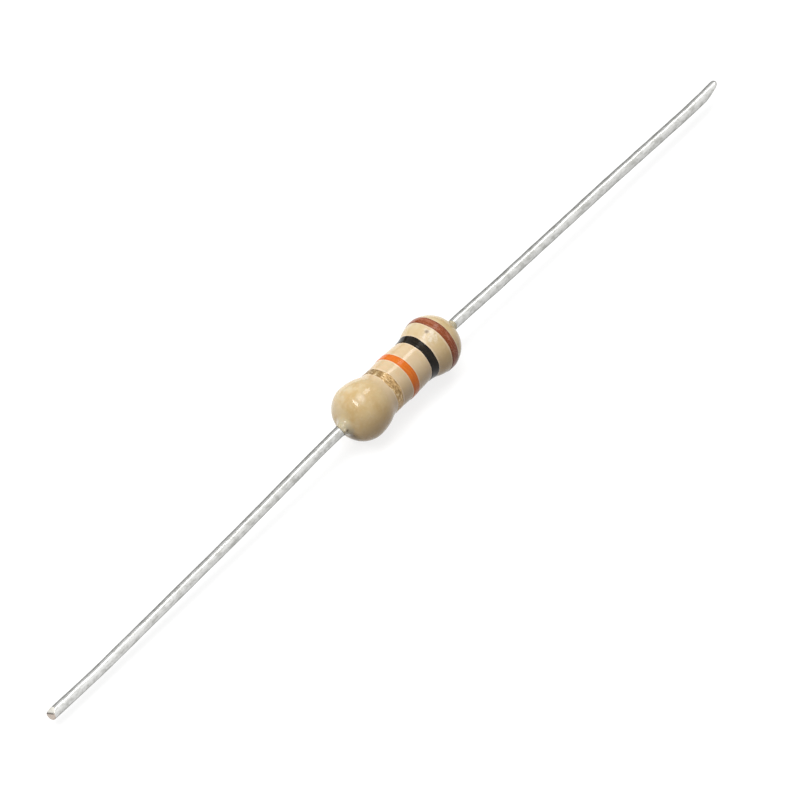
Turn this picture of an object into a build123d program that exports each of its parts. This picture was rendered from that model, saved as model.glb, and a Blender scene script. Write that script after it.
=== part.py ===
from build123d import *

import os
from math import cos, radians, sin, sqrt, tan

# Axial carbon-film resistor of half a watt, lying on its two rounded ends.
# X runs along the body from the gold band towards the brown one, and Z is up.
# The origin is the middle of the ceramic rod, and every size is in millimetres.

os.makedirs("parts", exist_ok=True)

# Ceramic rod
rod_diameter = 2.1
rod_length = 7.1
rod_chamfer = 0.12

# Carbon film, cut into one long strip by a helical groove
film_thickness = 0.03
film_margin = 0.16
groove_width = 0.25
groove_pitch = 1.25
groove_margin = 0.2

# Drawn steel cups, pressed over the ends of the film
cap_wall = 0.2
cap_depth = 1.6
cap_bevel = 0.1

# Lead wires, with a foot where each is welded to its cup
wire_diameter = 0.6
weld_height = 0.16
weld_spread = 0.14

# Resin coating, as thicknesses over what it covers and lengths along the body
coat_on_film = 0.19
belly_rise = 0.06
coat_on_cap = 0.335
coat_past_cap = 0.635
crown_setback = 0.73
shoulder_run = 0.87
shoulder_turn = 0.54
waist_shift = 0.115

# Collar of resin drawn out along each lead
collar_height = 0.25
collar_length = 0.335
collar_lip = 0.04

# Paint bands: the first lies by the right crown, the last some way from the left one
paint_thickness = 0.03
first_past_crown = 0.04
last_from_crown = 1.73
brown_width = 0.46
black_width = 0.5
orange_width = 0.49
gold_width = 0.47

# Each lead stays level for a little past its collar. The rest of its length is runs, each a share and a fall
# in degrees
bend_radius = 34.0
level_past_collar = 0.1
left_lead_length = 23.25
right_lead_length = 22.46
left_runs = [(0.344, 3.63), (0.486, 2.1), (0.17, -0.95)]
right_runs = [(0.793, 2.08), (0.207, 1.43)]

# Cut tips: a bevel of some depth leans back from the end face, and rolls round the wire
left_bevel_depth = 0.19
left_bevel_lean = 58.0
left_bevel_roll = 27.0
right_bevel_depth = 0.5
right_bevel_lean = 46.0
right_bevel_roll = 120.0
tip_chamfer = 0.05

# Sizes that follow from those above
rod_radius = rod_diameter / 2
film_radius = rod_radius + film_thickness
film_half = rod_length / 2 - film_margin
wire_radius = wire_diameter / 2
cap_radius = film_radius + cap_wall
cap_face = rod_length / 2 + cap_wall
cap_rim = cap_face - cap_depth
cap_outer_bevel = cap_bevel + cap_wall * (2 - sqrt(2))
groove_half = cap_rim - groove_margin
waist_end = cap_rim - shoulder_run
waist_radius = film_radius + coat_on_film
crown = cap_face - crown_setback
crown_radius = cap_radius + coat_on_cap
collar_root = cap_face + coat_past_cap
collar_end = collar_root + collar_length
root_end = collar_end + level_past_collar / 2
first_band = crown + first_past_crown
last_band = -crown + last_from_crown


# Rod, chamfered at both ends so that the cups slide on
with BuildPart() as ceramic_rod:
    with BuildSketch(Plane.YZ.offset(-rod_length / 2)):
        Circle(rod_radius)
    extrude(amount=rod_length)
    chamfer(ceramic_rod.edges().filter_by(GeomType.CIRCLE), rod_chamfer)
ceramic_rod.part.label = "ceramic_rod"
export_step(ceramic_rod.part, "parts/ceramic_rod.step")


# Film round the rod, with a groove that winds from near one cup's rim to near the other's
with BuildPart() as carbon_film:
    with BuildSketch(Plane.YZ.offset(-film_half)):
        Circle(film_radius)
        Circle(rod_radius, mode=Mode.SUBTRACT)
    extrude(amount=2 * film_half)
    with BuildLine() as groove:
        middle_radius = (rod_radius + film_radius) / 2
        Helix(groove_pitch, 2 * groove_half, middle_radius, center=(-groove_half, 0, 0), direction=(1, 0, 0))
    with BuildSketch(Plane(groove.line @ 0, x_dir=(1, 0, 0), z_dir=groove.line % 0)):
        Rectangle(groove_width, 2 * film_thickness)
    sweep(path=groove.line, is_frenet=True, mode=Mode.SUBTRACT)
carbon_film.part.label = "carbon_film"
export_step(carbon_film.part, "parts/carbon_film.step")


def plug_outline(depth, radius, bevel):
    """Half section of a bevelled plug that starts at the right cup's rim."""
    with BuildSketch(Plane.XZ) as outline:
        with Locations((cap_rim, 0)):
            Rectangle(depth, radius, align=(Align.MIN, Align.MIN))
        chamfer(outline.vertices().group_by(Axis.X)[-1].sort_by(Axis.Y)[-1], bevel)
    return outline.sketch_local


# The right cup's outer and inner form
cup_outside = plug_outline(cap_depth, cap_radius, cap_outer_bevel)
cup_inside = plug_outline(cap_depth - cap_wall, film_radius, cap_bevel)

# Outline of the right lead's level root and its welded foot
with BuildSketch(Plane.XZ) as root_outline:
    with BuildLine():
        Polyline(
            (cap_face, 0),
            (cap_face, wire_radius + weld_spread),
            (cap_face + weld_height, wire_radius),
            (root_end, wire_radius),
            (root_end, 0),
            close=True,
        )
    make_face()


# End caps: one drawn cup, open towards the middle, and its mirror image
with BuildPart() as end_cap_right:
    with BuildSketch(Plane.XZ):
        add(cup_outside)
        add(cup_inside, mode=Mode.SUBTRACT)
    revolve(axis=Axis.X)
end_cap_right.part.label = "end_cap_right"
export_step(end_cap_right.part, "parts/end_cap_right.step")

with BuildPart() as end_cap_left:
    mirror(end_cap_right.part, about=Plane.YZ)
end_cap_left.part.label = "end_cap_left"
export_step(end_cap_left.part, "parts/end_cap_left.step")


def lead_corners(sign, length, runs):
    """Corners of a lead's centre line: the level root, then each run at its own fall."""
    first_tangent = bend_radius * tan(radians(runs[0][1]) / 2)
    corners = [Vector(sign * cap_face, 0, 0)]
    corners.append(Vector(sign * (collar_end + level_past_collar + first_tangent), 0, 0))
    for share, fall in runs:
        heading = Vector(sign * cos(radians(fall)), 0, -sin(radians(fall)))
        corners.append(corners[-1] + heading * length * share)
    return corners


def lead_wire(sign, length, runs, bevel_depth, bevel_lean, bevel_roll):
    """Wire along its bent centre line, with its welded foot and the tip as the cutter left it."""
    with BuildPart() as lead:
        with BuildLine() as route:
            FilletPolyline(lead_corners(sign, length, runs), radius=bend_radius)
        with BuildSketch(Plane(route.line @ 0, z_dir=route.line % 0)):
            Circle(wire_radius)
        sweep()
        end_face = lead.faces().sort_by_distance(route.line @ 1)[0]
        chamfer(end_face.edges(), tip_chamfer)
        with BuildSketch(Plane.XZ):
            add(root_outline.sketch_local)
            if sign < 0:
                mirror(about=Plane.YZ, mode=Mode.REPLACE)
        revolve(axis=Axis.X)
        tip = Plane(route.line @ 1, x_dir=(0, sign, 0), z_dir=route.line % 1).location
        ridge = Pos(0, wire_radius - bevel_depth, 0)
        bevel = Plane(tip * Rotation(0, 0, bevel_roll) * ridge * Rotation(-bevel_lean, 0, 0))
        split(bisect_by=bevel, keep=Keep.BOTTOM)
    return lead.part


# Lead wires: the left one is nipped a little above its middle, the right one slantwise all over
left_bevel = (left_bevel_depth, left_bevel_lean, left_bevel_roll)
left_lead = lead_wire(-1, left_lead_length, left_runs, *left_bevel)
left_lead.label = "lead_wire_left"
export_step(left_lead, "parts/lead_wire_left.step")

right_bevel = (right_bevel_depth, right_bevel_lean, right_bevel_roll)
right_lead = lead_wire(1, right_lead_length, right_runs, *right_bevel)
right_lead.label = "lead_wire_right"
export_step(right_lead, "parts/lead_wire_right.step")


def shoulder(sign, foot, top):
    """Two arcs that leave a waist's end and a crown level, and meet on the line between them."""
    turn = foot + (top - foot) * (1 - shoulder_turn)
    TangentArc(foot, turn, tangent=(sign, 0))
    TangentArc(top, turn, tangent=(-sign, 0))


def rounded_end(sign, skin):
    """A dome from the crown down to the collar, which tapers along the wire."""
    top = Vector(sign * crown, crown_radius + skin)
    root = Vector(sign * (collar_root + skin), wire_radius + collar_height + skin)
    lip = Vector(sign * (collar_end + skin), wire_radius + collar_lip + skin)
    TangentArc(top, root, tangent=(sign, 0))
    Polyline(root, lip, (lip.X, 0))


def body_outline(skin):
    """Half section of the coated body above its axis, grown by a skin of paint."""
    belly = (waist_shift, waist_radius + belly_rise + skin)
    feet = {sign: Vector(waist_shift + sign * waist_end, waist_radius + skin) for sign in (-1, 1)}
    with BuildSketch(Plane.XZ) as outline:
        with BuildLine():
            ThreePointArc(feet[-1], belly, feet[1])
            for sign, foot in feet.items():
                shoulder(sign, foot, Vector(sign * crown, crown_radius + skin))
                rounded_end(sign, skin)
            Line((-collar_end - skin, 0), (collar_end + skin, 0))
        make_face()
    return outline.sketch_local


# Resin coating: the body's outline less everything that it was dipped over
with BuildPart() as resin_coating:
    with BuildSketch(Plane.XZ):
        add(body_outline(0))
        Rectangle(rod_length, 2 * film_radius, mode=Mode.SUBTRACT)
        for covered in (cup_outside, root_outline.sketch_local):
            add(covered, mode=Mode.SUBTRACT)
            mirror(covered, about=Plane.YZ, mode=Mode.SUBTRACT)
    revolve(axis=Axis.X)
resin_coating.part.label = "resin_coating"
export_step(resin_coating.part, "parts/resin_coating.step")


# Paint bands: rings that follow the coating's outline, in the order of the colour code
band_widths = {"brown": brown_width, "black": black_width, "orange": orange_width, "gold": gold_width}
for place, (colour, width) in enumerate(band_widths.items()):
    with BuildPart() as band:
        with BuildSketch(Plane.XZ):
            add(body_outline(paint_thickness))
            with Locations((first_band + (last_band - first_band) * place / (len(band_widths) - 1), 0)):
                Rectangle(width, 2 * (crown_radius + paint_thickness), mode=Mode.INTERSECT)
            add(body_outline(0), mode=Mode.SUBTRACT)
        revolve(axis=Axis.X)
    band.part.label = f"band_{colour}"
    export_step(band.part, f"parts/band_{colour}.step")
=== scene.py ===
from math import cos, radians, sin

import bmesh
import bpy
import numpy as np
from mathutils import Matrix, Vector


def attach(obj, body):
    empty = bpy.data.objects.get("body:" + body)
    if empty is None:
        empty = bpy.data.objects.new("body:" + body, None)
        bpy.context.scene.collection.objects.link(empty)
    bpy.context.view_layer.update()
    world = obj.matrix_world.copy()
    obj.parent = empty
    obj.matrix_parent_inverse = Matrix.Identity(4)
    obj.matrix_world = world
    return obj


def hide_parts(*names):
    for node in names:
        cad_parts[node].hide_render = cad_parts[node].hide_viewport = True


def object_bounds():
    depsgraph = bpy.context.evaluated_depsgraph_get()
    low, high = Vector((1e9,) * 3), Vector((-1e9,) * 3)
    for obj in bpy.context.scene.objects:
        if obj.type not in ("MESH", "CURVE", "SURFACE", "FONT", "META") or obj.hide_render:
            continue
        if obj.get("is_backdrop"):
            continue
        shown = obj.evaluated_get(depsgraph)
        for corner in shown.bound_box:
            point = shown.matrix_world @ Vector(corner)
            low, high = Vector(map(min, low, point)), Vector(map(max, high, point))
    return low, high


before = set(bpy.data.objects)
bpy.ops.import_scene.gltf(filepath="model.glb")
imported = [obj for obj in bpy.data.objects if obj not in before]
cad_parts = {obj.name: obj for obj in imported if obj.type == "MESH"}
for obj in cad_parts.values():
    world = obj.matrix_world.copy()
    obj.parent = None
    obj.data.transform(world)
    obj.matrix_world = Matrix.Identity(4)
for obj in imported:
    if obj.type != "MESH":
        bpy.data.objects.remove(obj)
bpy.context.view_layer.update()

# Sizes are in millimetres up to the moment a mesh is made, and X runs along the body.
# Round the axis, an angle of 0 points along +Y and an angle of 90 degrees points up.
mm = 0.001
wireRadius = 0.30  # both leads, and the hole that the lacquer leaves for them
print("frame loaded:", len(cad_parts), "nodes")


def surface(name, points, closedAlong=False, closedRound=True, values=None):
    # A grid of points, rows along the piece and columns round it, becomes quads. Where the volume
    # that they enclose comes out negative, they look inwards and are turned.
    rows, columns = points.shape[:2]
    row = np.arange(rows if closedAlong else rows - 1)
    column = np.arange(columns if closedRound else columns - 1)
    row, column = (a.ravel() for a in np.meshgrid(row, column, indexing="ij"))
    nextRow, nextColumn = (row + 1) % rows, (column + 1) % columns
    corners = [(row, column), (nextRow, column), (nextRow, nextColumn), (row, nextColumn)]
    quads = np.stack([r * columns + c for r, c in corners], 1)
    flat = points.reshape(-1, 3)
    corner = [flat[quads[:, k]] for k in range(4)]
    halves = (np.cross(corner[1], corner[2]), np.cross(corner[2], corner[3]))
    if sum((corner[0] * half).sum() for half in halves) < 0:
        quads = quads[:, ::-1]
    mesh = bpy.data.meshes.new(name)
    mesh.vertices.add(len(flat))
    mesh.vertices.foreach_set("co", (flat * mm).astype(np.float32).ravel())
    mesh.loops.add(quads.size)
    mesh.loops.foreach_set("vertex_index", quads.astype(np.int32).ravel())
    mesh.polygons.add(len(quads))
    mesh.polygons.foreach_set("loop_start", np.arange(0, quads.size, 4, dtype=np.int32))
    for key, value in (values or {}).items():
        layer = mesh.attributes.new(key, "FLOAT", "POINT")
        layer.data.foreach_set("value", np.asarray(value, np.float32).ravel())
    mesh.update(calc_edges=True)
    mesh.validate()
    mesh.shade_smooth()
    piece = bpy.data.objects.new(name, mesh)
    bpy.context.scene.collection.objects.link(piece)
    return piece


def closePoles(piece):
    # A ring of points that has shrunk to nothing is merged into one point.
    shape = bmesh.new()
    shape.from_mesh(piece.data)
    bmesh.ops.remove_doubles(shape, verts=shape.verts, dist=mm / 10000)
    shape.to_mesh(piece.data)
    shape.free()
    piece.data.shade_smooth()
    return piece


def arcFrom(start, end, heading, count):
    # The circle that leaves start along heading and reaches end: with n square to the heading,
    # its radius is chord^2 / (2 chord.n) and it turns by twice the angle from heading to chord.
    start, end, heading = (np.array(v, float) for v in (start, end, heading))
    chord = end - start
    side = np.array([-heading[1], heading[0]])
    side = side * np.sign(chord @ side)
    radius = chord @ chord / (2 * chord @ side)
    turn = np.linspace(0, 2 * np.arctan2(chord @ side, chord @ heading), count)[:, None]
    return start + radius * (heading * np.sin(turn) + side * (1 - np.cos(turn)))


def smooth(low, high, value):
    # Goes from 0 at low to 1 at high, as 3u^2 - 2u^3.
    u = np.clip((value - low) / (high - low), 0, 1)
    return u * u * (3 - 2 * u)


body = {
    # Points of the half section: distance along X from the middle, and from the axis
    "crown": (3.02, 1.615),
    "collarRoots": ((4.28, 0.58), (4.38, 0.54)),
    "collarLip": (4.88, 0.306),
    "waistEnds": (-1.165, 1.395),
    "waistRadius": 1.27,
    "bellyRise": 0.05,
    "shoulderTurn": 0.54,  # share of the shoulder that curves round the crown
    "meniscus": 0.22,  # stretch that the corner between dome and collar is averaged over
    "meniscusFrom": (0.25, 0.10),  # it starts and is full this far before the right collar's root
    "meniscusTo": (0.12, 0.02),  # it wanes and is gone this far before the lip
    "arcSteps": {"collar": 40, "dome": 120, "shoulder": 60, "belly": 60},
    "around": 192,
    "along": 360,
    # Waves round the axis and along X, each with its phase and height
    "wobble": [(2, 0.7, 0.4, 0.007), (3, -1.1, 1.7, 0.005), (5, 1.9, 4.1, 0.003)],
    "wobbleRise": (0.6, 1.3),  # none nearer to the axis than the first, and full from the second
    # Small faults of the lacquer: place along X, angle in degrees, spread along and round, height
    "faults": [
        (-3.95, 108, 0.10, 0.07, 0.012),
        (2.50, 94.5, 0.06, 0.05, -0.015),
        (2.41, 105, 0.16, 0.12, 0.010),
        (-4.05, 150, 0.20, 0.22, -0.012),
        (-4.72, 152, 0.08, 0.09, 0.080),
        (-4.20, 222, 0.32, 0.50, 0.040),
    ],
}


def outline():
    # Half section from the left lip to the right one: collar, dome, shoulder, belly, and the same again.
    crown, lip, steps = np.array(body["crown"]), np.array(body["collarLip"]), body["arcSteps"]
    ends = []
    for side, footX, root in zip((-1, 1), body["waistEnds"], body["collarRoots"]):
        root = np.array(root)
        foot = np.array([footX, body["waistRadius"]])
        top = crown * (side, 1)
        turn = foot + (top - foot) * (1 - body["shoulderTurn"])
        parts = [
            arcFrom(lip * (side, 1), root * (side, 1), (-side, 0), steps["collar"]),
            arcFrom(top, root * (side, 1), (side, 0), steps["dome"])[::-1][1:],
            arcFrom(top, turn, (-side, 0), steps["shoulder"])[1:],
            arcFrom(foot, turn, (side, 0), steps["shoulder"])[::-1][1:],
        ]
        ends.append(np.concatenate(parts))
    left, right = ends
    middle = np.array([sum(body["waistEnds"]) / 2, body["waistRadius"] + body["bellyRise"]])
    belly = [
        arcFrom(middle, left[-1], (-1, 0), steps["belly"])[::-1][1:],
        arcFrom(middle, right[-1], (1, 0), steps["belly"])[1:-1],
    ]
    line = np.concatenate([left, *belly, right[::-1]])
    travelled = np.concatenate([[0], np.cumsum(np.hypot(*np.diff(line, axis=0).T))])
    even = np.linspace(0, travelled[-1], body["along"])
    line = np.stack([np.interp(even, travelled, line[:, k]) for k in (0, 1)], 1)
    # Where dome and collar meet, the line is averaged over a short stretch, as a wetted corner is.
    span = int(round(body["meniscus"] / (even[1] - even[0])))
    weight = np.hanning(2 * span + 3)[1:-1]
    padded = np.pad(line, ((span, span), (0, 0)), mode="edge")
    soft = np.stack([np.convolve(padded[:, k], weight / weight.sum(), "valid") for k in (0, 1)], 1)
    reach = np.abs(line[:, :1])
    starts, full = (root[0] - before for before in body["meniscusFrom"])
    wanes, gone = (lip[0] - before for before in body["meniscusTo"])
    share = smooth(starts, full, reach) * smooth(gone, wanes, reach)
    return line + (soft - line) * share


profile = outline()
slope = np.gradient(profile, axis=0)
profileNormal = np.stack([-slope[:, 1], slope[:, 0]], 1)
profileNormal /= np.linalg.norm(profileNormal, axis=1)[:, None]
angles = np.linspace(0, 2 * np.pi, body["around"], endpoint=False)


def lift(x, radius, angle):
    # Height of the lacquer over its outline: slow waves that fade towards the wire, and the small
    # faults, each a bell e^-(along^2 + round^2).
    waves = sum(a * np.sin(n * angle + k * x + p) for n, k, p, a in body["wobble"])
    height = waves * smooth(*body["wobbleRise"], radius)
    for place, degreesUp, alongX, roundIt, tall in body["faults"]:
        gap = (angle - np.radians(degreesUp) + np.pi) % (2 * np.pi) - np.pi
        height = height + tall * np.exp(-((x - place) / alongX) ** 2 - (gap * radius / roundIt) ** 2)
    return height


def raised(x, radius, normal, high, angle):
    # Points at a height over the outline, measured along its normal, and turned round the axis.
    r = radius + normal[1] * high
    return np.stack([x + normal[0] * high, r * np.cos(angle), r * np.sin(angle)], -1)


def onBody(x, angle, extra):
    # Points over the coating at x and an angle, raised by extra.
    radius = np.interp(x, profile[:, 0], profile[:, 1])
    normal = [np.interp(x, profile[:, 0], profileNormal[:, k]) for k in (0, 1)]
    return raised(x, radius, normal, lift(x, radius, angle) + extra, angle)


inner = {
    "footRadius": 0.44,
    "footEnd": 3.91,
    "capFace": 3.75,
    "capRadius": 1.28,
    "capBevel": 0.217,
    "capRim": 2.15,
    "filmRadius": 1.08,
}
# Half section of what the coating is emptied of, from the film out to the right lip
half = [
    (inner["capRim"], inner["filmRadius"]),
    (inner["capRim"], inner["capRadius"]),
    (inner["capFace"] - inner["capBevel"], inner["capRadius"]),
    (inner["capFace"], inner["capRadius"] - inner["capBevel"]),
    (inner["capFace"], inner["footRadius"]),
    (inner["footEnd"], wireRadius),
    (body["collarLip"][0], wireRadius),
]
cavity = np.array([(x, r) for x, r in half[::-1]] + [(-x, r) for x, r in half])

radius, angle = profile[:, 1:2], angles[None, :]
height = lift(profile[:, :1], radius, angle)
skin = raised(profile[:, :1], radius, profileNormal.T[:, :, None], height, angle)
hollow = raised(cavity[:, :1], cavity[:, 1:2], (0, 1), 0 * angle, angle)
coating = surface("resinCoating", np.concatenate([skin, hollow]), closedAlong=True)
print("resin coating:", len(coating.data.polygons), "faces")


bands = {
    "brown": {"place": 3.025, "width": 0.51, "wander": 0.010, "sway": 0.030, "phase": 0.3},
    "black": {"place": 1.675, "width": 0.50, "wander": 0.012, "sway": 0.0, "phase": 2.1},
    "orange": {"place": 0.062, "width": 0.49, "wander": 0.010, "sway": 0.0, "phase": 4.4},
    "gold": {"place": -1.235, "width": 0.50, "wander": 0.030, "sway": 0.0, "phase": 5.2},
}
paint = {
    "depth": 0.02,
    "sunk": 0.008,  # how far a ring's underside lies in the lacquer
    "columns": 25,
    "squareness": 8,
    "waves": (3, 8),  # how often each edge swings to and fro round the body, slow and fast
    "fastShare": 0.6,
    "edgeShift": 2.5,  # phase between a band's two edges
    "swayAngle": 120,
}


def paintRing(colour):
    # Across the band, the paint's height is depth * (1 - |u|^squareness)^(1/2). Its edges wander
    # round the body as two sine waves, and the whole band sways as cos(2 angle).
    band = bands[colour]
    across = np.sin(np.linspace(-np.pi / 2, np.pi / 2, paint["columns"]))
    under = across[::-1][1:-1]
    u, angle = np.meshgrid(np.concatenate([across, under]), angles, indexing="ij")
    isTop = (np.arange(len(u)) < len(across))[:, None]
    phase, wander, (slow, fast) = band["phase"], band["wander"], paint["waves"]
    edges = [
        wander * np.sin(slow * angle + phase + k)
        + paint["fastShare"] * wander * np.sin(fast * angle - phase + 2 * k)
        for k in (0, paint["edgeShift"])
    ]
    drift = np.where(u > 0, edges[1], edges[0]) * np.abs(u)
    drift = drift + band["sway"] * np.cos(2 * (angle - radians(paint["swayAngle"])))
    x = band["place"] + u * band["width"] / 2 + drift
    top = paint["depth"] * np.sqrt(np.clip(1 - np.abs(u) ** paint["squareness"], 0, 1))
    points = onBody(x, angle, np.where(isTop, top, -paint["sunk"]))
    return surface("band" + colour.capitalize(), points, closedAlong=True)


rings = {colour: paintRing(colour) for colour in bands}
print("bands:", ", ".join(rings))


# Each lead: its runs as length and fall in degrees, then the cut tip. The bevel leans back from the
# end face and is rolled round the wire. Copper says how much copper the cut shows, and the entry after it
# how dark a line of painted shade runs along the bevel's ridge.
leads = {
    "left": {
        "side": -1,
        "runs": [(8.0, 3.63), (11.3, 2.1), (3.90, -0.95)],
        "bevelDepth": 0.19,
        "bevelLean": 58,
        "bevelRoll": 27,
        "ridgeWidth": 0.02,
        "rounding": 0.07,
        "copper": 1.0,
        "ridgeShade": 1.0,
        "ripples": 1.3,
    },
    "right": {
        "side": 1,
        "runs": [(3.0, 3.0), (9.6, 1.2), (7.8, 2.3), (1.90, -3.0)],
        "bevelDepth": 0.20,
        "bevelLean": 79,
        "bevelRoll": 120,
        "ridgeWidth": 0.12,
        "rounding": 0.23,
        "copper": 0.1,
        "ridgeShade": 0.0,
        "ripples": 4.0,
    },
}
wire = {
    "level": 4.82,  # the wire leaves the body level up to here
    "bendRadius": 34.0,
    "around": 48,
    "along": 420,
    "edgeRows": 6,
    "faceRows": 12,
    "lineSteps": 4000,
    "tail": 2.2,  # the bevel draws back this much of the wire before the tip
    "rippleHeights": (0.003, 0.002),
    "secondRipple": 2.7,
    "rippleFade": 1.0,
    "bevelEdge": (-0.01, 0.03),
    "ridgeShadeWidth": 0.035,
}


def centreLine(side, runs):
    # The heading turns evenly along each bend and stays on each run. The running sum of headings
    # gives the line.
    reach, heading = [0.0, wire["level"] - inner["capFace"]], [0.0, 0.0]
    falls = [0.0] + [radians(fall) for _, fall in runs]
    bends = [abs(b - a) for a, b in zip(falls, falls[1:])] + [0.0]
    tangents = [wire["bendRadius"] * np.tan(bend / 2) for bend in bends]
    for k, (length, _) in enumerate(runs):
        reach.append(reach[-1] + wire["bendRadius"] * bends[k])
        reach.append(reach[-1] + length - tangents[k] - tangents[k + 1])
        heading += [falls[k + 1], falls[k + 1]]
    steps = np.linspace(0, reach[-1], wire["lineSteps"])
    fall = np.interp(steps, reach, heading)
    stride = steps[1] - steps[0]
    mid = (fall[1:] + fall[:-1]) / 2
    x = inner["capFace"] + np.concatenate([[0], np.cumsum(np.cos(mid))]) * stride
    z = -np.concatenate([[0], np.cumsum(np.sin(mid))]) * stride
    return steps, side * x, z, fall


def leadWire(name, lead):
    # Rings along the centre line. At the tip a rounded edge turns into the end face, and every point
    # there is drawn back by tan(lean) * (h + (h^2 + width^2)^(1/2)) / 2, with h its height over the
    # bevel's ridge and width the ridge's softness.
    steps, lineX, lineZ, fall = centreLine(lead["side"], lead["runs"])
    side, length, edge, full = lead["side"], steps[-1], lead["rounding"], wireRadius
    tube = np.linspace(0, length - edge, wire["along"])
    curl = np.linspace(0, np.pi / 2, wire["edgeRows"])[1:]
    inward = np.linspace(1, 0, wire["faceRows"])[1:]
    atEnd = np.concatenate([np.zeros(1 + len(tube)), np.ones(len(curl) + len(inward))])[:, None]
    place = np.concatenate([[0], tube, length - edge * (1 - np.sin(curl)), np.full(len(inward), length)])
    rim, face = full - edge * (1 - np.cos(curl)), (full - edge) * inward
    radius = np.concatenate([[0], np.full(len(tube), full), rim, face])
    turn = np.linspace(0, 2 * np.pi, wire["around"], endpoint=False)
    along, t = np.meshgrid(place, turn, indexing="ij")
    r = np.broadcast_to(radius[:, None], along.shape)
    roll = radians(lead["bevelRoll"])
    toward = r * np.sin(t) * np.cos(roll) - side * r * np.cos(t) * np.sin(roll)
    over = toward - (full - lead["bevelDepth"])
    cut = np.tan(radians(lead["bevelLean"])) * (over + np.sqrt(over**2 + lead["ridgeWidth"] ** 2)) / 2
    along = along - cut * smooth(length - wire["tail"], length - edge, along)
    (first, second), fade = wire["rippleHeights"], wire["rippleFade"]
    ripple = first * np.sin(along * lead["ripples"] + 2 * t)
    ripple = ripple + second * np.sin(wire["secondRipple"] * along - 3 * t)
    middle = smooth(0, fade, along) * smooth(length, length - fade, along)
    r = r * (1 + ripple * middle / full)
    x, z, f = (np.interp(along, steps, line) for line in (lineX, lineZ, fall))
    depth = r * np.sin(t)
    points = np.stack([x + side * depth * np.sin(f), r * np.cos(t), z + depth * np.cos(f)], -1)
    points[0] = points[1].mean(0)
    values = {
        "cut": np.broadcast_to(atEnd * lead["copper"], along.shape),
        "bevel": smooth(*wire["bevelEdge"], over) * atEnd,
        # the mask of the painted dark line along the bevel's ridge
        "ridge": np.exp(-((over / wire["ridgeShadeWidth"]) ** 2)) * atEnd * lead["ridgeShade"],
    }
    return closePoles(surface(name, points, values=values))


leftLead = leadWire("leadLeft", leads["left"])
rightLead = leadWire("leadRight", leads["right"])
print("leads:", len(leftLead.data.polygons) + len(rightLead.data.polygons), "faces")


class Flow:
    # One socket of a node tree, with the operators that shader sums are written in.
    def __init__(self, tree, socket):
        self.tree, self.socket = tree, socket

    def __add__(self, other):
        return self.tree.maths("ADD", self, other)

    __radd__ = __add__

    def __sub__(self, other):
        return self.tree.maths("SUBTRACT", self, other)

    def __rsub__(self, other):
        return self.tree.maths("SUBTRACT", other, self)

    def __mul__(self, other):
        return self.tree.maths("MULTIPLY", self, other)

    __rmul__ = __mul__

    def __truediv__(self, other):
        return self.tree.maths("DIVIDE", self, other)

    def __rtruediv__(self, other):
        return self.tree.maths("DIVIDE", other, self)

    def __pow__(self, other):
        return self.tree.maths("POWER", self, other)

    def __rpow__(self, other):
        return self.tree.maths("POWER", other, self)

    def __abs__(self):
        return self.tree.maths("ABSOLUTE", self)

    def clamped(self):
        return self.tree.maths("ADD", self, 0.0, clamp=True)

    def rise(self, low, high):
        # 0 at low and 1 at high, as smooth() goes between them
        span = {"Value": self, "From Min": low, "From Max": high}
        return self.tree.add("ShaderNodeMapRange", {"interpolation_type": "SMOOTHSTEP"}, span)


class Tree:
    # A node tree that is filled by one method, add: a type, its settings, and the values or links of
    # its sockets.
    def __init__(self, owner):
        owner.use_nodes = True
        self.tree = owner.node_tree
        self.tree.nodes.clear()

    def add(self, kind, settings=None, inputs=None, output=0):
        node = self.tree.nodes.new(kind)
        for key, value in (settings or {}).items():
            setattr(node, key, value)
        for key, value in (inputs or {}).items():
            if isinstance(value, Flow):
                self.tree.links.new(value.socket, node.inputs[key])
            else:
                node.inputs[key].default_value = value
        if len(node.outputs):
            return Flow(self, node.outputs[output])

    def maths(self, operation, *values, clamp=False):
        settings = {"operation": operation, "use_clamp": clamp}
        return self.add("ShaderNodeMath", settings, dict(enumerate(values)))

    def mix(self, factor, first, second, blend="MIX"):
        # Of a Mix node's sockets, 6 and 7 take the colours and 2 gives their mixture.
        settings = {"data_type": "RGBA", "blend_type": blend}
        return self.add("ShaderNodeMix", settings, {0: factor, 6: first, 7: second}, 2)

    def millimetres(self, stretch=(1, 1, 1)):
        place = self.add("ShaderNodeTexCoord", output="Object")
        size = [part / mm for part in stretch]
        return self.add("ShaderNodeVectorMath", {"operation": "MULTIPLY"}, {0: place, 1: size})

    def noise(self, scale, detail=2.0, rough=0.5, stretch=(1, 1, 1), span=None):
        # Noise over the piece's own millimetres. With a span, it goes from 0 to 1 between two values.
        inputs = {"Vector": self.millimetres(stretch), "Scale": scale, "Detail": detail, "Roughness": rough}
        pattern = self.add("ShaderNodeTexNoise", {}, inputs)
        return pattern.rise(*span) if span else pattern

    def parts(self, place):
        split = self.add("ShaderNodeSeparateXYZ", {}, {0: place})
        return [Flow(self, socket) for socket in split.socket.node.outputs]

    def near(self, axes, mark):
        # 1 inside the mark's first radius, falling to 0 at its second
        point, full, gone = mark
        gaps = [axis - at for axis, at in zip(axes, point)]
        return 1 - (sum(gap * gap for gap in gaps) ** 0.5).rise(full, gone)

    def attribute(self, name):
        return self.add("ShaderNodeAttribute", {"attribute_name": name}, output="Fac")

    def bump(self, height, metres):
        return self.add("ShaderNodeBump", {}, {"Distance": metres, "Height": height})


def seen(red, green, blue):
    # A colour as it is seen, 0 to 255, as the linear light that a shader takes, by the sRGB curve.
    part = np.array([red, green, blue]) / 255
    light = np.where(part <= 0.04045, part / 12.92, ((part + 0.055) / 1.055) ** 2.4)
    return (*map(float, light), 1.0)


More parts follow.
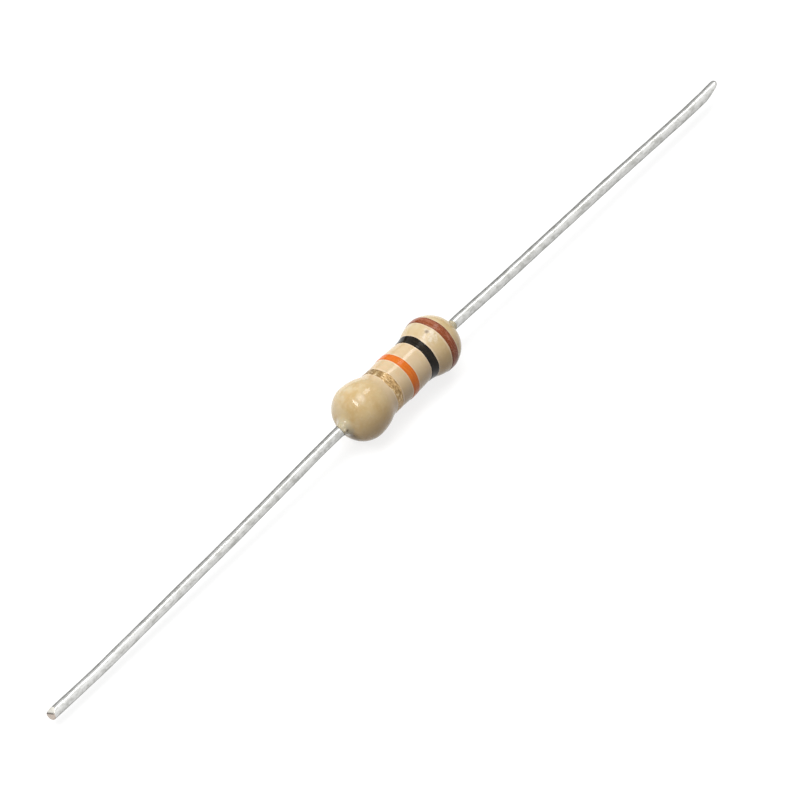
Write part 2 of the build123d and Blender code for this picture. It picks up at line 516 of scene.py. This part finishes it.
def material(name, build):
    made = bpy.data.materials.new(name)
    tree = Tree(made)
    shader = tree.add("ShaderNodeBsdfPrincipled", {}, build(tree))
    tree.add("ShaderNodeOutputMaterial", {}, {"Surface": shader})
    return made


resinLook = {
    "waist": seen(212, 186, 147),
    "bulb": seen(204, 176, 122),
    "bulbFrom": (1.5, 2.6),  # along X, either way from the middle
    "amber": seen(194, 158, 92),
    "amberAmount": (0.15, 0.52),  # everywhere, and what the left bulb has more
    "leftBulb": (-1.6, -3.2),
    "pale": seen(224, 202, 166),
    "paleAmount": (0.20, 0.18),  # as broad clouds, and as grain
    # Painted light and shade along one direction, up and towards the back where the lamps are: the bulbs
    # are painted paler on that side, and the coat is painted darker on the side away from it
    "paintedLightFrom": (0.0, 0.86, 0.50),
    "paintedLitSide": seen(216, 201, 170),
    "paintedLitAmount": 0.65,
    "paintedLitFrom": (0.1, 1.5),
    "paintedShadeSide": seen(166, 124, 66),
    "paintedShadeAmount": 0.45,
    "paintedShadeFrom": (0.1, 1.4),
    "collar": seen(188, 178, 150),
    "collarAmount": 0.85,
    "collarWithin": (0.35, 0.7),  # distance from the axis
    "rim": seen(234, 208, 176),  # a pale line beside each band
    "rimAmount": 0.55,
    "rimReach": (0.03, 0.10),
    # Each mark: its place, then the radius that it fills and the radius that it fades out at
    # A pale patch on the right bulb: painted reflection of the top lamp, where the lacquer is also rougher
    "paintedReflection": seen(228, 213, 190),
    "paintedReflectionAt": ((2.40, -0.370, 1.536), 0.20, 0.75),
    "paintedReflectionAmount": (0.25, 0.75),  # even, and by the mottle
    # A pale disc on the left bulb: painted highlight of the top lamp, in the same pale colour
    "paintedHighlightAt": ((-3.455, -0.321, 1.510), 0.18, 0.42),
    "paintedHighlightAmount": 0.25,
    # Painted shadow on the lower front of the left dome, under the wire, mottled
    "paintedShadow": seen(108, 78, 28),
    "paintedShadowAt": ((-4.24, -0.47, -0.55), 0.12, 0.56),
    "paintedShadowAmount": (0.60, 0.20),  # even, and by the mottle
    # Dark spots: a speck on the right bulb, and painted shade at the edge of the droplet by the left lip
    "speckAndDropShade": seen(112, 92, 66),
    "specksAndDropShade": [((2.47, -0.12, 1.575), 0.05, 0.17), ((-4.62, -0.36, 0.12), 0.04, 0.13)],
    "speckAndDropShadeAmount": 0.8,
    # Along the wire the lacquer thins out between these two, on an edge that slants by y and z. Only
    # the skin on the wire does: past the reach, measured from the axis, the lacquer is thick again.
    "film": (4.62, 4.74),
    "filmSlant": (0.33, -0.57),
    "filmReach": (0.308, 0.328),
    "broad": {"scale": 0.55, "span": (0.35, 0.65)},
    "cloud": {"scale": 1.5, "detail": 3.0, "span": (0.40, 0.66)},
    "grain": {"scale": 7.0, "detail": 3.0, "span": (0.45, 0.75)},
    "mottle": {"scale": 4.5, "detail": 3.0, "rough": 0.6, "span": (0.40, 0.62)},
    "waves": {"scale": 1.1},
    "pebbles": {"scale": 6.0},
    "pebbleShare": 0.06,
    "relief": 0.00002,
    "roughness": 0.10,
    "cloudRough": 0.06,
    "paintedReflectionRough": 0.30,
    "specular": 0.45,
    "glow": {"amount": 0.10, "radius": (1.0, 0.6, 0.3), "metres": 0.0004},  # light spread in the lacquer
}


def resinFinish(tree):
    look = resinLook
    x, y, z = tree.parts(tree.millimetres())
    broad, cloud, grain, mottle = (tree.noise(**look[k]) for k in ("broad", "cloud", "grain", "mottle"))
    ends = abs(x).rise(*look["bulbFrom"])
    fromAxis = (y * y + z * z) ** 0.5
    # how far each point lies towards the lamps, for the painted light and shade below
    paintedLitSide = sum(axis * part for axis, part in zip((x, y, z), look["paintedLightFrom"]))

    base = tree.mix(ends, look["waist"], look["bulb"])
    # painted light: the bulbs are paler on the side towards the lamps
    base = tree.mix(paintedLitSide.rise(*look["paintedLitFrom"]) * ends * look["paintedLitAmount"], base, look["paintedLitSide"])
    everywhere, more = look["amberAmount"]
    base = tree.mix(cloud * (everywhere + more * x.rise(*look["leftBulb"])), base, look["amber"])
    asClouds, asGrain = look["paleAmount"]
    base = tree.mix(broad * asClouds + grain * asGrain, base, look["pale"])
    collar = 1 - fromAxis.rise(*look["collarWithin"])
    base = tree.mix(collar * look["collarAmount"], base, look["collar"])
    # painted shade: darker on the side away from the lamps
    base = tree.mix((0 - paintedLitSide).rise(*look["paintedShadeFrom"]) * look["paintedShadeAmount"], base, look["paintedShadeSide"])
    fromBands = [abs(x - band["place"]) - band["width"] / 2 for band in bands.values()]
    rims = sum(1 - gap.rise(*look["rimReach"]) for gap in fromBands)
    base = tree.mix(rims * look["rimAmount"], base, look["rim"])
    # painted reflection: the pale, mottled patch on the right bulb
    even, mottled = look["paintedReflectionAmount"]
    paintedReflectionMask = tree.near((x, y, z), look["paintedReflectionAt"]) * (even + mottled * mottle)
    base = tree.mix(paintedReflectionMask, base, look["paintedReflection"])
    # painted highlight: the pale disc on the left bulb
    base = tree.mix(tree.near((x, y, z), look["paintedHighlightAt"]) * look["paintedHighlightAmount"], base, look["paintedReflection"])
    # painted shadow under the left wire
    even, mottled = look["paintedShadowAmount"]
    paintedShadowMask = tree.near((x, y, z), look["paintedShadowAt"]) * (even + mottled * mottle)
    base = tree.mix(paintedShadowMask, base, look["paintedShadow"])
    # the speck, and the painted shade beside the droplet
    for mark in look["specksAndDropShade"]:
        base = tree.mix(tree.near((x, y, z), mark) * look["speckAndDropShadeAmount"], base, look["speckAndDropShade"])

    height = tree.noise(**look["waves"]) + tree.noise(**look["pebbles"]) * look["pebbleShare"]
    slantY, slantZ = look["filmSlant"]
    ran = (abs(x) + slantY * y + slantZ * z).rise(*look["film"])
    return {
        "Base Color": base,
        "Alpha": 1 - ran * (1 - fromAxis.rise(*look["filmReach"])),
        "Roughness": look["roughness"] + look["cloudRough"] * cloud + look["paintedReflectionRough"] * paintedReflectionMask,
        "Specular IOR Level": look["specular"],
        "Subsurface Weight": look["glow"]["amount"],
        "Subsurface Radius": look["glow"]["radius"],
        "Subsurface Scale": look["glow"]["metres"],
        "Normal": tree.bump(height, look["relief"]),
    }


# Each paint: its colour, the lighter one that shows through it and how much of that, its roughness
# and gloss, and how dark its edges are.
paintLook = {
    "brown": {
        "main": seen(136, 62, 20),
        "second": seen(202, 140, 114),
        "speckle": 0.46,
        "rough": 0.15,
        "gloss": 0.20,
        "edge": 1.0,
    },
    "black": {
        "main": seen(17, 11, 4),
        "second": seen(76, 64, 46),
        "speckle": 0.24,
        "rough": 0.07,
        "gloss": 0.15,
        "edge": 0.5,
    },
    "orange": {
        "main": seen(216, 104, 8),
        "second": seen(230, 144, 58),
        "speckle": 0.35,
        "rough": 0.14,
        "gloss": 0.20,
        "edge": 0.2,
    },
}
brushwork = {
    "streaks": {"scale": 1.6, "detail": 3.0, "rough": 0.6, "stretch": (6, 1, 1), "span": (0.42, 0.72)},
    "flecks": {"scale": 14.0, "span": (0.52, 0.75)},
    "furrows": {"scale": 2.0, "stretch": (8, 1, 1)},
    "fleckHeight": 0.3,
    "relief": 0.000004,
    "streakRough": 0.10,
    # The paint is thicker and darker along its edges, from this share of its half width outwards
    "edgeDark": (0.68, 0.68, 0.68, 1.0),
    "edgeFrom": (0.62, 1.0),
}


def paintFinish(colour):
    look, band = paintLook[colour], bands[colour]

    def build(tree):
        x = tree.parts(tree.millimetres())[0] - band["place"]
        edge = (abs(x) / (band["width"] / 2)).rise(*brushwork["edgeFrom"])
        streaks, flecks = tree.noise(**brushwork["streaks"]), tree.noise(**brushwork["flecks"])
        base = tree.mix(streaks * look["speckle"], look["main"], look["second"])
        base = tree.mix(flecks * look["speckle"], base, look["second"])
        base = tree.mix(edge * look["edge"], base, brushwork["edgeDark"], "MULTIPLY")
        height = tree.noise(**brushwork["furrows"]) + brushwork["fleckHeight"] * flecks
        return {
            "Base Color": base,
            "Roughness": look["rough"] + brushwork["streakRough"] * streaks,
            "Specular IOR Level": look["gloss"],
            "Normal": tree.bump(height, brushwork["relief"]),
        }

    return build


goldLook = {
    "ochre": seen(194, 156, 100),
    "bronzeAndShade": seen(152, 120, 68),
    "blotch": {"scale": 2.6, "detail": 3.0, "rough": 0.6, "span": (0.42, 0.62)},
    "blotchAmount": 0.35,
    "paintedShadeBehind": (-0.45, 0.15),  # along Y: the band is painted darker and more bronze towards the back, as painted shade
    "paintedShadeBehindAmount": 0.70,
    "fleck": {"scale": 6.0, "detail": 3.0, "rough": 0.7, "stretch": (1.7, 0.8, 0.8)},
    "deep": seen(128, 98, 52),
    "deepFrom": (0.50, 0.60),
    "deepAmount": 0.85,
    "flake": seen(236, 214, 168),
    "flakeUnder": (0.34, 0.46),
    "flakeAmount": 0.8,
    "metallic": (0.12, 0.25),  # least, and how much more on the flecks
    "roughness": (0.2, 0.3),
    "specular": 0.5,
    "relief": 0.000014,
}


def goldFinish(tree):
    look = goldLook
    y = tree.parts(tree.millimetres())[1]
    blotch, fleck = tree.noise(**look["blotch"]), tree.noise(**look["fleck"])
    # bronze blotches, and painted shade towards the back of the band
    bronzeAndShade = blotch * look["blotchAmount"] + y.rise(*look["paintedShadeBehind"]) * look["paintedShadeBehindAmount"]
    base = tree.mix(bronzeAndShade, look["ochre"], look["bronzeAndShade"])
    base = tree.mix(fleck.rise(*look["deepFrom"]) * look["deepAmount"], base, look["deep"])
    flaked = (1 - fleck.rise(*look["flakeUnder"])) * look["flakeAmount"]
    base = tree.mix(flaked, base, look["flake"])
    metal, metalMore = look["metallic"]
    rough, roughMore = look["roughness"]
    return {
        "Base Color": base,
        "Metallic": metal + metalMore * fleck,
        "Roughness": rough + roughMore * fleck,
        "Specular IOR Level": look["specular"],
        "Normal": tree.bump(fleck, look["relief"]),
    }


tinLook = {
    "bright": seen(206, 206, 204),
    "dull": seen(168, 168, 164),
    "core": seen(216, 202, 190),  # the cut face, with copper in it
    "bevel": seen(226, 223, 214),
    # painted shade along the ridge of the cut
    "ridgeShade": seen(70, 62, 58),
    "ridgeShadeAmount": 0.9,
    "drawn": {"scale": 1.0, "detail": 1.5, "stretch": (0.5, 9, 9)},
    "blotch": {"scale": 1.3, "detail": 4.0, "rough": 0.6, "stretch": (1.5, 3, 3), "span": (0.42, 0.66)},
    "grain": {"scale": 9.0, "detail": 3.0, "span": (0.5, 0.75)},
    "dullAmount": (0.75, 0.3, 0.3),  # by blotches, by grain, and towards the body along the left lead
    "dullAlong": (-28, -8),
    "coreMatt": 0.6,
    "bevelMatt": 0.7,
    "edge": (0.42, 0.42, 0.42, 1.0),  # how much of the light a glancing edge sends back
    "roughness": (0.22, 0.10, 0.2),  # bright, and how much more where dull and on the core
    "relief": 0.0000015,
}


def tinFinish(tree):
    look = tinLook
    x = tree.parts(tree.millimetres())[0]
    drawn, blotch, grain = (tree.noise(**look[k]) for k in ("drawn", "blotch", "grain"))
    cut, bevel, ridge = (tree.attribute(k) for k in ("cut", "bevel", "ridge"))
    byBlotch, byGrain, byPlace = look["dullAmount"]
    dull = (blotch * byBlotch + grain * byGrain + x.rise(*look["dullAlong"]) * byPlace).clamped()
    core = cut * (1 - bevel)
    base = tree.mix(dull, look["bright"], look["dull"])
    base = tree.mix(core, base, look["core"])
    base = tree.mix(bevel, base, look["bevel"])
    # painted shade: a dark line along the ridge of the cut
    base = tree.mix(ridge * look["ridgeShadeAmount"], base, look["ridgeShade"])
    bright, moreDull, moreCore = look["roughness"]
    return {
        "Base Color": base,
        "Metallic": 1 - core * look["coreMatt"] - bevel * look["bevelMatt"],
        "Roughness": bright + moreDull * dull + moreCore * core,
        "Specular Tint": look["edge"],
        "Normal": tree.bump(drawn, look["relief"]),
    }


# The pieces under the lacquer: two colours in patches of a scale, roughness and metal
innerLook = {
    "ceramic": (seen(236, 230, 218), seen(214, 206, 190), 5.0, 0.65, 0.0),
    "carbon": (seen(40, 40, 44), seen(70, 70, 74), 9.0, 0.45, 0.0),
    "steel": (seen(206, 204, 198), seen(172, 170, 165), 4.0, 0.35, 1.0),
}
innerPatch = {"detail": 4.0, "rough": 0.6, "span": (0.35, 0.7)}
innerRelief, innerUneven = 0.000008, 0.12


def innerFinish(kind):
    main, second, scale, rough, metal = innerLook[kind]

    def build(tree):
        patch = tree.noise(scale, **innerPatch)
        return {
            "Base Color": tree.mix(patch, main, second),
            "Metallic": metal,
            "Roughness": rough + innerUneven * patch,
            "Normal": tree.bump(patch, innerRelief),
        }

    return build


def dress(piece, made):
    piece.data.materials.clear()
    piece.data.materials.append(made)


def stand(piece, node, made):
    dress(piece, made)
    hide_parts(node)
    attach(piece, "root")


stand(coating, "resin_coating", material("resinLacquer", resinFinish))
for colour, ring in rings.items():
    finish = goldFinish if colour == "gold" else paintFinish(colour)
    stand(ring, "band_" + colour, material(colour + "Paint", finish))
tinned = material("tinnedWire", tinFinish)
stand(leftLead, "lead_wire_left", tinned)
stand(rightLead, "lead_wire_right", tinned)
hidden = {
    "ceramic_rod": "ceramic",
    "carbon_film": "carbon",
    "end_cap_left": "steel",
    "end_cap_right": "steel",
}
for node, kind in hidden.items():
    dress(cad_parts[node], material(kind + node.capitalize(), innerFinish(kind)))
print("materials dressed")


# A pale table in a tent of light. Behind the object is where Y is positive.
studio = {
    "floorLevel": -1.66,
    "floorSize": 900.0,
    "floorColour": (0.28, 0.28, 0.28, 1.0),
    "floorLift": 0.80,  # brightness that the floor adds to its own where it is looked at or mirrored
    "litBehind": 0.86,  # light of the tent on matt surfaces
    "litFront": 0.38,
    "shownBehind": 1.0,  # brightness of the tent in glossy surfaces
    "shownFront": (1.10, 1.45),  # low down, and from the height where it stops growing
    "frontGrows": (0.0, 0.7),
    "behindFrom": (-0.25, 0.25),
    "gap": 0.13,  # brightness of the dark gap behind, between the tent and the table
    "gapTop": (0.11, 0.36),
    "lampDistance": 400,
}
white = (1, 1, 1, 1)


def rayKinds(tree):
    # 1 for rays from the camera, for mirrored ones and for ones that went through glass
    names = ("Is Camera Ray", "Is Glossy Ray", "Is Transmission Ray")
    return [tree.add("ShaderNodeLightPath", output=name) for name in names]


reach = studio["floorSize"] / 2
corners = np.array([[(-reach, -reach), (-reach, reach)], [(reach, -reach), (reach, reach)]])
levels = np.full((2, 2, 1), studio["floorLevel"])
floor = surface("floor", np.concatenate([corners, levels], -1), closedRound=False)
floor.data.flip_normals()
paleFloor = bpy.data.materials.new("paleFloor")
tree = Tree(paleFloor)
camera, glossy, through = rayKinds(tree)
shown = (camera + glossy + through).clamped()
matt = tree.add("ShaderNodeBsdfDiffuse", {}, {"Color": studio["floorColour"]})
glow = tree.add("ShaderNodeEmission", {}, {"Color": white, "Strength": shown * studio["floorLift"]})
both = tree.add("ShaderNodeAddShader", {}, {0: matt, 1: glow})
tree.add("ShaderNodeOutputMaterial", {}, {"Surface": both})
dress(floor, paleFloor)
floor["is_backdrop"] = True

tent = bpy.data.worlds.new("tent")
bpy.context.scene.world = tent
tree = Tree(tent)
dy, dz = tree.parts(tree.add("ShaderNodeTexCoord", output="Generated"))[1:]
camera, glossy, through = rayKinds(tree)
behind = dy.rise(*studio["behindFrom"])
lit = studio["litFront"] + (studio["litBehind"] - studio["litFront"]) * behind
low, high = studio["shownFront"]
front = low + (high - low) * dz.rise(*studio["frontGrows"])
bright = front + (studio["shownBehind"] - front) * behind
gap = behind * (1 - dz.rise(*studio["gapTop"]))
bright = bright * (1 - gap * (1 - studio["gap"]))
level = lit + (bright - lit) * (glossy + through).clamped()
level = level + (1.0 - level) * camera
sky = tree.add("ShaderNodeBackground", {}, {"Color": white, "Strength": level})
tree.add("ShaderNodeOutputWorld", {}, {"Surface": sky})

# Each lamp: direction from the object, size, and the light that falls on the object
lamps = {
    "keyRight": {"toward": (0.56, 0.155, 0.814), "size": (100, 212), "light": 0.50, "shape": "ELLIPSE"},
    "softTop": {"toward": (-0.02, 0.08, 0.997), "size": (208, 208), "light": 0.80, "shape": "ELLIPSE"},
    "slotLeft": {"toward": (-0.54, 0.22, 0.83), "size": (190, 66), "light": 0.98, "shape": "RECTANGLE"},
}
for name, lamp in lamps.items():
    light = bpy.data.lights.new(name, "AREA")
    width, tall = (side * mm for side in lamp["size"])
    light.shape, light.size, light.size_y = lamp["shape"], width, tall
    # A lamp of power P, seen face on at distance d, gives the object P / (pi d^2).
    light.energy = lamp["light"] * np.pi * (studio["lampDistance"] * mm) ** 2
    holder = bpy.data.objects.new(name, light)
    toward = Vector(lamp["toward"]).normalized()
    holder.location = toward * studio["lampDistance"] * mm
    holder.rotation_euler = toward.to_track_quat("Z", "Y").to_euler()
    bpy.context.scene.collection.objects.link(holder)
print("stage set")


shot = {
    "azimuth": -52.6,
    "elevation": 46.2,
    "distance": 900.0,
    "pixelsPerMm": 19.23,
    "bodyPixel": (396.0, 378.3),  # where the frame's origin falls in the picture
    "frame": 800,
    "sensor": 36.0,
    "clip": (0.01, 10.0),
}
turn, lean = radians(shot["azimuth"]), radians(shot["elevation"])
back = Vector((sin(turn) * cos(lean), -cos(turn) * cos(lean), sin(lean)))
right = Vector((cos(turn), sin(turn), 0.0))
upward = back.cross(right)
offset = [(shot["frame"] / 2 - p) / shot["pixelsPerMm"] for p in shot["bodyPixel"]]
aim = right * offset[0] - upward * offset[1]
lens = bpy.data.cameras.new("camera")
lens.sensor_width = shot["sensor"]
lens.lens = shot["pixelsPerMm"] * shot["distance"] * lens.sensor_width / shot["frame"]
lens.clip_start, lens.clip_end = shot["clip"]
eye = bpy.data.objects.new("camera", lens)
seat = Matrix.Translation((aim + back * shot["distance"]) * mm)
eye.matrix_world = seat @ Matrix((right, upward, back)).transposed().to_4x4()
bpy.context.scene.collection.objects.link(eye)
bpy.context.scene.camera = eye
bpy.context.scene.view_settings.view_transform = "Standard"

low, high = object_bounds()
